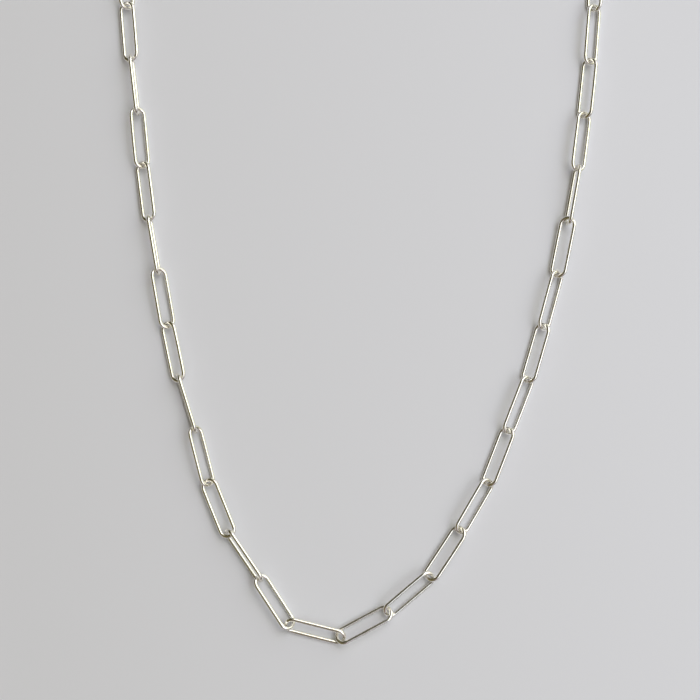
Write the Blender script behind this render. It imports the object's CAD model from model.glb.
# %% [markdown]
# # A paperclip chain in silver
#
# The real object is a neck chain of long oval links. Each link is a piece of round silver wire, wound on a
# flat mandrel, cut off as a loop, hooked into its neighbour and soldered shut. A round clasp closes the
# chain.
#
# This lesson dresses the measured model of that chain. Each link's place and lean come from the model, and
# the wire is bent again in fine rings of mesh, because a thin bright wire shows every facet in its shine.

# %% Load the measured chain
import math
import random

import bpy
import numpy as np
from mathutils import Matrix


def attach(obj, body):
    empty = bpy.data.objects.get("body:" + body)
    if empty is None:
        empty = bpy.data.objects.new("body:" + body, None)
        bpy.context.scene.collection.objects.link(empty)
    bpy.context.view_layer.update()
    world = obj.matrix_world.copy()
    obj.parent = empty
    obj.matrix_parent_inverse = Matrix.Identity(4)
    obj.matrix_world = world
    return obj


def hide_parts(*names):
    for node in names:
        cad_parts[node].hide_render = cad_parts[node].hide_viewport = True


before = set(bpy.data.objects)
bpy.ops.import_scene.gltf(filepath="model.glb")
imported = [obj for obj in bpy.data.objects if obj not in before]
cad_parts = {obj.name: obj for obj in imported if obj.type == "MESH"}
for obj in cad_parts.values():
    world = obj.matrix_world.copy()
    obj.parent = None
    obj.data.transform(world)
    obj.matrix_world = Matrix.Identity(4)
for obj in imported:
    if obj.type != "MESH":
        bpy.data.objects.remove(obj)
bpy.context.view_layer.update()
MM = 0.001

links = sorted(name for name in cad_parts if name.startswith("link_"))
print(f"{len(links)} links and {len(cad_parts) - len(links)} clasp")

# %% [markdown]
# ## How a piece lies
#
# A jeweller lays the finished chain down and the links lean over one another, each to its own side. In
# Blender such a lean could be typed in by hand for every link. Here it is read off the model instead: the
# mesh of a link is long, not very wide and thin, so the three axes of its spread are its length, its width
# and its thickness. The spread is summed over the area of the triangles, so it doesn't depend on how finely
# each face is cut. The first two axes point to the side where the piece reaches further, which tells the
# clasp's two ends apart.


# %% Read the lie of a piece
def lie_of(mesh):
    """Middle of a mesh, its three axes with the longest spread first, and its size along them, in metres."""
    mesh.calc_loop_triangles()
    points = np.array([v.co for v in mesh.vertices], float)
    corners = points[np.array([t.vertices for t in mesh.loop_triangles])]
    first_edge, last_edge = corners[:, 1] - corners[:, 0], corners[:, 2] - corners[:, 0]
    area = np.linalg.norm(np.cross(first_edge, last_edge), axis=1) / 2
    middle = (area[:, None] * corners.mean(axis=1)).sum(axis=0) / area.sum()
    corners = corners - middle
    sums = corners.sum(axis=1)
    spread = np.einsum("t,tci,tcj->ij", area, corners, corners)
    spread += np.einsum("t,ti,tj->ij", area, sums, sums)
    axes = np.linalg.eigh(spread)[1].T[::-1].copy()
    for axis in axes[:2]:
        reach = (points - middle) @ axis
        if reach.max() + reach.min() < 0:
            axis *= -1
    axes[2] = np.cross(axes[0], axes[1])
    size = [np.ptp(points @ axis) for axis in axes]
    return middle, axes, size


link_size = lie_of(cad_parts[links[0]].data)[2]
print("one link, mm:", [round(side / MM, 3) for side in link_size])

# %% [markdown]
# ## Bent wire
#
# On the bench the wire follows the mandrel: half a turn round its edge, a straight run along its flat, and
# half a turn again. A Blender curve with a round bevel could stand for it, but a curve can't carry the little
# swelling of a soldered joint or a map that runs along the wire. So the wire is a tube of rings set along its
# path, and its map counts millimetres along the wire and round it, ready for polishing marks.


# %% A tube of wire along a path
def tube(path, out, normal, radius, closed=True, sides=24):
    """Points, faces and map of a tube. Each ring is spanned by its out and normal, at its radius or radii."""
    path, out, normal, radius = (np.asarray(v, float) for v in (path, out, normal, radius))
    count = len(path)
    angle = (np.arange(sides) * 2 * math.pi / sides)[None, :, None]
    ring = np.cos(angle) * out[:, None, :] + np.sin(angle) * normal[:, None, :]
    radius = radius.reshape(count, -1, 1)
    points = (path[:, None, :] + radius * ring).reshape(-1, 3)
    steps = np.linalg.norm(np.roll(path, -1, axis=0) - path, axis=1)
    along = np.concatenate([[0], np.cumsum(steps)]) / MM
    turn = 2 * math.pi * radius.mean() / sides / MM
    faces, marks = [], []
    for i in range(count if closed else count - 1):
        j = (i + 1) % count
        for k in range(sides):
            m = (k + 1) % sides
            faces.append((i * sides + k, i * sides + m, j * sides + m, j * sides + k))
            corners = ((i, k), (i, k + 1), (i + 1, k + 1), (i + 1, k))
            marks += [(along[a], b * turn) for a, b in corners]
    if not closed:
        for i, way in ((0, -1), (count - 1, 1)):
            faces.append(tuple(i * sides + k for k in range(sides))[::way])
            marks += [(along[i], k * turn) for k in range(sides)][::way]
    return points, faces, marks


# %% One mesh from a few tubes
def mesh_of(name, tubes):
    """Joins tubes into one mesh, with the map that runs along the wire."""
    points, faces, marks = [], [], []
    for tube_points, tube_faces, tube_marks in tubes:
        faces += [tuple(len(points) + corner for corner in face) for face in tube_faces]
        points += tube_points.tolist()
        marks += tube_marks
    mesh = bpy.data.meshes.new(name)
    mesh.from_pydata(points, [], faces)
    mesh.uv_layers.new(name="along_wire").data.foreach_set("uv", np.array(marks, float).ravel())
    mesh.polygons.foreach_set("use_smooth", [True] * len(mesh.polygons))
    mesh.update()
    return mesh


# %% [markdown]
# ## One link
#
# The links of a real chain come off one mandrel, so they match, but hands close and solder them. Each keeps
# a trace of that: a joint where the solder swells the wire a little, and long sides that bow by up to 0.03
# millimetres. A noise that moves the finished mesh could give such traces, but it would dent the wire's round
# section. So they are drawn by a seeded dice for each link before its tube is made, and every run bends the
# same chain.

# %% Sizes of a link's traces
STRAIGHT_RINGS, END_RINGS = 20, 22
BOW = 0.03 * MM
BOW_SHARES = (-0.2, 1)  # from a little inwards to fully outwards
SOLDER_SWELL = 0.035  # share of the wire's thickness
SOLDER_LENGTH = 0.5 * MM
SOLDER_FROM_BEND = 4  # in rings, so that the joint sits on a long side
print(f"rings in a link: {2 * (STRAIGHT_RINGS + END_RINGS + 1)}")


# %% Bend a link
def bend_link(name):
    """The link's tube in its own plane, then turned and moved to where the measured link lies."""
    middle, axes, (length, width, wire) = lie_of(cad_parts[name].data)
    dice = random.Random(name)
    bend = (width - wire) / 2
    half = (length - width) / 2
    bow = [dice.uniform(*BOW_SHARES) * BOW for side in range(2)]
    path, out = [], []
    for side in range(2):
        way = 1 - 2 * side
        for k in range(STRAIGHT_RINGS):
            share = (k + 0.5) / STRAIGHT_RINGS
            bowed = bend + bow[side] * math.sin(math.pi * share)
            path.append((way * half * (2 * share - 1), -way * bowed))
            out.append((0, -way))
        for k in range(END_RINGS + 1):
            t = math.pi * (k / END_RINGS - 0.5)
            out.append((way * math.cos(t), way * math.sin(t)))
            path.append((way * half + bend * out[-1][0], bend * out[-1][1]))
    path, out = np.array(path), np.array(out)
    joint_ring = dice.randrange(SOLDER_FROM_BEND, STRAIGHT_RINGS - SOLDER_FROM_BEND)
    joint_ring += dice.choice((0, STRAIGHT_RINGS + END_RINGS + 1))
    off_joint = np.linalg.norm(path - path[joint_ring], axis=1) / SOLDER_LENGTH
    radius = wire / 2 * (1 + SOLDER_SWELL * np.exp(-(2 * off_joint) ** 2))
    normal = np.repeat(axes[2][None, :], len(path), axis=0)
    return mesh_of(name + "_wire", [tube(middle + path @ axes[:2], out @ axes[:2], normal, radius)])


print("one link's wire:", len(bend_link(links[0]).polygons), "faces")

# %% [markdown]
# ## The clasp
#
# A round clasp is a length of tube bent into a ring with an opening. A thinner pin slides inside the tube and
# closes the opening, pushed by a spring, and a thumb stud on the pin stands out through a slot. A short neck
# joins the ring to a small eye. The photograph doesn't show this chain's own clasp, so this is a plain one of
# the usual kind. It could be cut from solids with booleans, but they leave rough edges in a shine, so it is
# built of tubes whose rings swell, round over and sink where the metal does.

# %% Clasp sizes
RING_D, TUBE_D, PIN_D = 6 * MM, 1.2 * MM, 0.75 * MM
EYE_D, EYE_WIRE_D = 2.9 * MM, 0.7 * MM
NECK_D, NECK_BARE = 0.9 * MM, 0.3 * MM
STUD_D, STUD_OUT = 0.8 * MM, 0.6 * MM
OPENING = (20, 70)  # degrees round the ring, counted from the neck, as are the next two
STUD_AT = 94
SLOT = (86, 152)

ring_r = (RING_D - TUBE_D) / 2
eye_r = (EYE_D - EYE_WIRE_D) / 2
eye_x = ring_r + NECK_BARE + (TUBE_D + EYE_WIRE_D) / 2 + eye_r
print("ring to eye, mm:", round(eye_x / MM, 2))


# %% Tubes that follow a circle or a line
def round_tube(x, r, angles, radius, closed, sides=48):
    """A tube round a circle in the clasp's plane, with the circle's middle at x."""
    angles = np.radians(angles)
    out = np.stack([np.cos(angles), np.sin(angles), 0 * angles], axis=1)
    path = r * out + (x, 0, 0)
    normal = np.repeat([[0, 0, 1.0]], len(path), axis=0)
    return tube(path, out, normal, radius, closed, sides)


def turned_bar(start, way, steps, radii, sides=40):
    """A bar turned on a lathe: steps are distances from its start along way, radii its thickness there."""
    way = np.array(way, float)
    side = np.cross((0, 0, 1.0), way)
    path = np.array(start) + np.outer(steps, way)
    return tube(path, [side] * len(path), [(0, 0, 1)] * len(path), radii, False, sides)


# %% Bend the clasp's ring
MOUTH_ROUND, MOUTH_SINK, PIN_PLAY = 0.14 * MM, 0.16 * MM, 0.03 * MM
MOUTH_RINGS, MOUTH_SPAN = 6, 4  # rings that round a mouth over, and the degrees that are kept for them
RING_SIDES, RING_STEP = 60, 2.0
SLOT_DEPTH = 0.2 * MM
SLOT_HALF = 17  # degrees round the tube


def clasp_ring():
    """The ring's tube: its mouths round over and sink round the pin, and a slot runs along its outside."""
    wall, lip = TUBE_D / 2, PIN_D / 2 + PIN_PLAY
    quarter = np.linspace(0, math.pi / 2, MOUTH_RINGS)
    mouth = [(MOUTH_ROUND * math.sin(t), wall - MOUTH_ROUND * (1 - math.cos(t))) for t in quarter]
    mouth += [(MOUTH_ROUND, lip), (MOUTH_ROUND - MOUTH_SINK, lip)]
    per_metre = math.degrees(1 / ring_r)
    mouth = [((MOUTH_ROUND - push) * per_metre, r) for push, r in mouth]
    first, last = OPENING[1], 360 + OPENING[0]
    inner = np.arange(first + MOUTH_SPAN, last - MOUTH_SPAN + 1, RING_STEP)
    angles = [first + a for a, r in mouth[::-1]] + list(inner) + [last - a for a, r in mouth]
    radii = np.array([r for a, r in mouth[::-1]] + [wall] * len(inner) + [r for a, r in mouth])
    turn = np.degrees(np.arange(RING_SIDES) * 2 * math.pi / RING_SIDES)
    across_slot = np.minimum(turn, 360 - turn) < SLOT_HALF
    along_slot = [SLOT[0] <= a <= SLOT[1] for a in angles]
    radius = radii[:, None] - SLOT_DEPTH * np.outer(along_slot, across_slot)
    return round_tube(0, ring_r, angles, radius, False, RING_SIDES)


print("clasp ring:", len(clasp_ring()[1]), "faces")

# %% Turn the clasp's neck
FILLET_RISE, FILLET_AT, FILLET_SPAN = 0.14 * MM, 0.54 * MM, 0.09 * MM
TAPER_DROP, TAPER_AT, TAPER_SPAN = 0.12 * MM, 0.86 * MM, 0.04 * MM
NECK_SLIMMER = 0.02 * MM
NECK_RINGS = 40


def clasp_neck():
    """The neck, with a fillet of solder at the ring and a taper to the eye's wire."""
    steps = np.linspace(0, eye_x - eye_r - ring_r, NECK_RINGS)
    fillet = FILLET_RISE * np.exp(-((steps - FILLET_AT) / FILLET_SPAN) ** 2)
    taper = TAPER_DROP / (1 + np.exp(-(steps - TAPER_AT) / TAPER_SPAN))
    return turned_bar((ring_r, 0, 0), (1, 0, 0), steps, NECK_D / 2 - NECK_SLIMMER + fillet - taper)


print("neck:", len(clasp_neck()[1]), "faces")

# %% Turn the thumb stud
STEM_FOOT, WAIST_R, HEAD_ROUND = 0.3 * MM, 0.27 * MM, 0.16 * MM
HEAD_RINGS = 8
# height above the tube, and radius there
FLARE = ((0.12 * MM, WAIST_R), (0.22 * MM, 0.31 * MM), (0.3 * MM, STUD_D / 2 - 0.02 * MM))


def clasp_stud():
    """The stud, waisted above the slot, with a domed head for the thumb nail."""
    edge, rim = TUBE_D / 2 + STUD_OUT, STUD_D / 2
    stem = [(STEM_FOOT, WAIST_R)] + [(TUBE_D / 2 + height, r) for height, r in FLARE]
    quarter = np.linspace(0, math.pi / 2, HEAD_RINGS)
    dome =[(edge - HEAD_ROUND * (1 - math.sin(t)), rim - HEAD_ROUND * (1 - math.cos(t))) for t in quarter]
    steps, radii = zip(*(stem + dome))
    a = math.radians(STUD_AT)
    way = (math.cos(a), math.sin(a), 0)
    return turned_bar(ring_r * np.array(way), way, steps, radii)


print("thumb stud:", len(clasp_stud()[1]), "faces")

# %% Put the clasp together
PIN_HIDDEN = 5  # degrees of pin inside each mouth
PIN_STEP, EYE_STEP = 1.5, 5.0
pin_turn = np.arange(OPENING[0] - PIN_HIDDEN, OPENING[1] + PIN_HIDDEN + 1, PIN_STEP)
eye_turn = np.arange(0, 360, EYE_STEP)
clasp_mesh = mesh_of("clasp_silverwork", [
    clasp_ring(),
    round_tube(0, ring_r, pin_turn, [PIN_D / 2] * len(pin_turn), False),
    clasp_neck(),
    clasp_stud(),
    round_tube(eye_x, eye_r, eye_turn, [EYE_WIRE_D / 2] * len(eye_turn), True),
])
bench_middle, bench_axes, bench_size = lie_of(clasp_mesh)
middle, axes, size = lie_of(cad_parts["clasp"].data)
for vertex in clasp_mesh.vertices:
    vertex.co = middle + ((np.array(vertex.co) - bench_middle) @ bench_axes.T) @ axes
clasp_mesh.update()
print("clasp, mm:", [round(side / MM, 2) for side in bench_size])
print("measured clasp, mm:", [round(side / MM, 2) for side in size])

# %% [markdown]
# ## Silver
#
# Sterling silver takes a bright, slightly warm polish. What shows on it is mostly what stands around it. A
# flat grey metal would look like chrome, and a painted picture of scratches would repeat on every link. So
# the shader is a plain metal, and the finish is in small things that nodes draw: a breath of warm tarnish in
# patches, hair-fine polishing marks along the wire, and a polish that isn't quite even.

# %% Tarnish in patches
BRIGHT = (0.965, 0.95, 0.904)
DULL = (0.95, 0.93, 0.882)
TARNISH = (0.08, 0.1, 0.155)  # what full tarnish takes away from the dull patches


def patchy_tone(nodes, join, tarnish):
    """The silver's colour, which drifts from dull and a little tarnished to bright."""
    place = nodes.new("ShaderNodeTexCoord")
    bloom = nodes.new("ShaderNodeTexNoise")
    bloom.inputs["Scale"].default_value = 420
    bloom.inputs["Detail"].default_value = 4
    join(place.outputs["Object"], bloom.inputs["Vector"])
    tone = nodes.new("ShaderNodeValToRGB")
    dull, bright = tone.color_ramp.elements
    dull.position, bright.position = 0.35, 0.62
    dull.color = (*(clean - loss * tarnish for clean, loss in zip(DULL, TARNISH)), 1)
    bright.color = (*BRIGHT, 1)
    join(bloom.outputs["Fac"], tone.inputs["Fac"])
    return tone.outputs["Color"]


print("dull to bright silver:", DULL, BRIGHT)

# %% Marks along the wire
MARK_STRETCH = (0.5, 26, 1)  # slow along the wire, quick round it
MARK_DEPTH = 0.004 * MM


def polishing_marks(nodes, join):
    """Streaks that are long along the wire and fine round it."""
    wire_map = nodes.new("ShaderNodeUVMap")
    wire_map.uv_map = "along_wire"
    stretch = nodes.new("ShaderNodeMapping")
    stretch.inputs["Scale"].default_value = MARK_STRETCH
    join(wire_map.outputs["UV"], stretch.inputs["Vector"])
    marks = nodes.new("ShaderNodeTexNoise")
    marks.inputs["Scale"].default_value = 1.6
    marks.inputs["Detail"].default_value = 6
    marks.inputs["Roughness"].default_value = 0.7
    join(stretch.outputs["Vector"], marks.inputs["Vector"])
    return marks.outputs["Fac"]


print("marks are", MARK_STRETCH[1] / MARK_STRETCH[0], "times as long as they are wide")


# %% Mix the silver
def polished_silver(name, tarnish):
    """Silver with fine marks along the wire. tarnish is the share of warm bloom on it."""
    material = bpy.data.materials.new(name)
    material.use_nodes = True
    nodes, join = material.node_tree.nodes, material.node_tree.links.new
    shader = nodes["Principled BSDF"]
    shader.inputs["Metallic"].default_value = 1.0
    join(patchy_tone(nodes, join, tarnish), shader.inputs["Base Color"])

    marks = polishing_marks(nodes, join)
    polish = nodes.new("ShaderNodeMapRange")
    polish.inputs["From Min"].default_value = 0.3
    polish.inputs["From Max"].default_value = 0.7
    polish.inputs["To Min"].default_value = 0.17
    polish.inputs["To Max"].default_value = 0.27
    join(marks, polish.inputs["Value"])
    join(polish.outputs["Result"], shader.inputs["Roughness"])

    relief = nodes.new("ShaderNodeBump")
    relief.inputs["Strength"].default_value = 0.1
    relief.inputs["Distance"].default_value = MARK_DEPTH
    join(marks, relief.inputs["Height"])
    join(relief.outputs["Normal"], shader.inputs["Normal"])
    return material


link_silver = polished_silver("polished_link_silver", tarnish=0.6)
clasp_silver = polished_silver("polished_clasp_silver", tarnish=0.4)
print("finishes:", link_silver.name, "and", clasp_silver.name)

# %% [markdown]
# ## Hang the chain together
#
# On the bench a chain grows link by link. One mesh for the whole chain would be easier to place, but every
# link stays a piece of its own here too, and takes the place of the measured link that it was bent to.


# %% Put a piece in its place
def finish_piece(mesh, node, material):
    """Puts a mesh into the scene in place of a measured piece."""
    mesh.materials.append(material)
    piece = bpy.data.objects.new(mesh.name, mesh)
    bpy.context.scene.collection.objects.link(piece)
    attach(piece, "root")
    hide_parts(node)


for name in links:
    finish_piece(bend_link(name), name, link_silver)
finish_piece(clasp_mesh, "clasp", clasp_silver)
print(len(links), "links are bent, and the clasp closes them")

# %% [markdown]
# ## Table
#
# Small silver lies on a pale, dull table. A lamp at one side could shade it, but it would also harden the
# shadows. So the table is one wide plane, painted a little lighter and cooler on the side of the light.

# %% Mix the table's paint
TABLE_HALF = 8  # metres from its middle, so that its edge stays far off in low views
TOWARDS_LIGHT = (0.99, 0.14, 0)
FAR_SIDE, NEAR_SIDE = -70 * MM, 58 * MM
FAR_TONE, NEAR_TONE = (0.75, 0.759, 0.797), (0.866, 0.884, 0.953)


def pale_paint():
    """A dull pale paint that drifts from FAR_TONE to NEAR_TONE towards the light."""
    material = bpy.data.materials.new("pale_table")
    material.use_nodes = True
    nodes, join = material.node_tree.nodes, material.node_tree.links.new
    shader = nodes["Principled BSDF"]
    shader.inputs["Roughness"].default_value = 0.6
    spot = nodes.new("ShaderNodeTexCoord")
    across = nodes.new("ShaderNodeVectorMath")
    across.operation = "DOT_PRODUCT"
    across.inputs[1].default_value = TOWARDS_LIGHT
    join(spot.outputs["Object"], across.inputs[0])
    nearness = nodes.new("ShaderNodeMapRange")
    nearness.inputs["From Min"].default_value = FAR_SIDE
    nearness.inputs["From Max"].default_value = NEAR_SIDE
    join(across.outputs["Value"], nearness.inputs["Value"])
    tone = nodes.new("ShaderNodeValToRGB")
    tone.color_ramp.elements[0].color = (*FAR_TONE, 1)
    tone.color_ramp.elements[1].color = (*NEAR_TONE, 1)
    join(nearness.outputs["Result"], tone.inputs["Fac"])
    join(tone.outputs["Color"], shader.inputs["Base Color"])
    return material


print("the paint drifts over, mm:", round((NEAR_SIDE - FAR_SIDE) / MM))

# %% Set the table
table_mesh = bpy.data.meshes.new("table")
table_corners = [(x * TABLE_HALF, y * TABLE_HALF, 0) for x, y in ((-1, -1), (1, -1), (1, 1), (-1, 1))]
table_mesh.from_pydata(table_corners, [], [(0, 1, 2, 3)])
table_mesh.materials.append(pale_paint())
table = bpy.data.objects.new("table", table_mesh)
bpy.context.scene.collection.objects.link(table)
print("table, metres across:", 2 * TABLE_HALF)

# %% [markdown]
# ## Light
#
# The light is wide and soft and comes mostly from one side, so every wire has a bright flank, a dark one, and
# a shadow that starts at the wire and fades out. Lamps would do, but the light has no clear edge, so it is
# painted on the sky in round glows, each with a tint of its own, and the metal shows them too. The last glow,
# dim, warm and very wide, stands for the far side of the room.

# %% The glows
DIM = (0.019, 0.0165, 0.0105)
# degrees down from overhead, degrees round from +X to +Y, width in degrees, and colour
GLOWS = [
    (24, 0, 10, (1.25, 1.3, 1.6)),
    (24, 40, 10, (1.35, 1.4, 0.85)),
    (38, -36, 10, (1.75, 1.95, 2.15)),
    (38, -14, 10, (0.85, 0.75, 0.6)),
    (38, 8, 10, (0.75, 0.7, 0.6)),
    (38, 52, 10, (1.9, 1.95, 2.35)),
    (38, 74, 10, (2.25, 2.05, 1.65)),
    (54, -80, 11, (0.65, 0.5, 0.6)),
    (54, -55, 11, (0.15, 0.2, 0.3)),
    (54, -30, 11, (0.9, 0.75, 0.45)),
    (54, -5, 11, (0.15, 0.1, 0.4)),
    (54, 20, 11, (1.0, 1.1, 0.8)),
    (54, 58, 14, (0.0, 0.0, 0.45)),
    (74, 20, 13, (0.55, 0.6, 0.25)),
    (74, 45, 13, (1.4, 1.35, 1.35)),
    (74, 75, 13, (0.7, 0.75, 0.4)),
    (60, -150, 30, (0.178, 0.15, 0.066)),
]
print(len(GLOWS), "glows on the sky")

# %% Paint the sky
sky = bpy.data.worlds.new("studio")
sky.use_nodes = True
bpy.context.scene.world = sky
sky_nodes, sky_join = sky.node_tree.nodes, sky.node_tree.links.new
look = sky_nodes.new("ShaderNodeTexCoord").outputs["Generated"]


def glow(light, down, azimuth, width, colour):
    """Adds a soft round patch to the light of the sky."""
    down, azimuth = math.radians(down), math.radians(azimuth)
    towards = (math.sin(down) * math.cos(azimuth), math.sin(down) * math.sin(azimuth), math.cos(down))
    sharpness = 1 / math.radians(width) ** 2
    facing = sky_nodes.new("ShaderNodeVectorMath")
    facing.operation = "DOT_PRODUCT"
    facing.inputs[1].default_value = towards
    sky_join(look, facing.inputs[0])
    falls = sky_nodes.new("ShaderNodeMath")
    falls.operation = "MULTIPLY_ADD"
    falls.inputs[1].default_value = sharpness
    falls.inputs[2].default_value = -sharpness
    sky_join(facing.outputs["Value"], falls.inputs[0])
    soft = sky_nodes.new("ShaderNodeMath")
    soft.operation = "EXPONENT"
    sky_join(falls.outputs[0], soft.inputs[0])
    total = sky_nodes.new("ShaderNodeVectorMath")
    total.operation = "MULTIPLY_ADD"
    total.inputs[1].default_value = colour
    sky_join(soft.outputs[0], total.inputs[0])
    if light is None:
        total.inputs[2].default_value = DIM
    else:
        sky_join(light, total.inputs[2])
    return total.outputs["Vector"]


light = None
for patch in GLOWS:
    light = glow(light, *patch)
sky_join(light, sky_nodes["Background"].inputs["Color"])
print("the sky has", len(sky_nodes), "nodes")

# %% [markdown]
# ## Camera
#
# The photograph looks almost straight down on the front of the chain. The camera could be moved by eye until
# the links cover those in the photograph, but its height and its lens can stand in for each other. So the
# lens is set first, in pixels of the picture, and the height follows from the links' size.

# %% Set the camera
VIEW_PIXELS, FOCUS_PIXELS = 700, 1500
SENSOR = 36
CAMERA_AT = (-1.02 * MM, -46.23 * MM, 269.72 * MM)
CAMERA_LEAN = (3.3766, 0.1881, 0)
camera_data = bpy.data.cameras.new("camera")
camera_data.sensor_width = SENSOR
camera_data.lens = SENSOR * FOCUS_PIXELS / VIEW_PIXELS
camera_data.clip_start = 0.01
camera = bpy.data.objects.new("camera", camera_data)
camera.location = CAMERA_AT
camera.rotation_euler = [math.radians(lean) for lean in CAMERA_LEAN]
bpy.context.scene.collection.objects.link(camera)
bpy.context.scene.camera = camera
bpy.context.scene.view_settings.view_transform = "Standard"
print("lens, mm:", round(camera_data.lens, 1))

# %% [markdown]
# ## Sizes
#
# Dressing a chain doesn't change its size. A ruler laid on the render would show that only roughly, so the
# box of the measured chain and the box of the dressed one are written down, to be compared.

# %% Write down both boxes
print("both boxes are written")
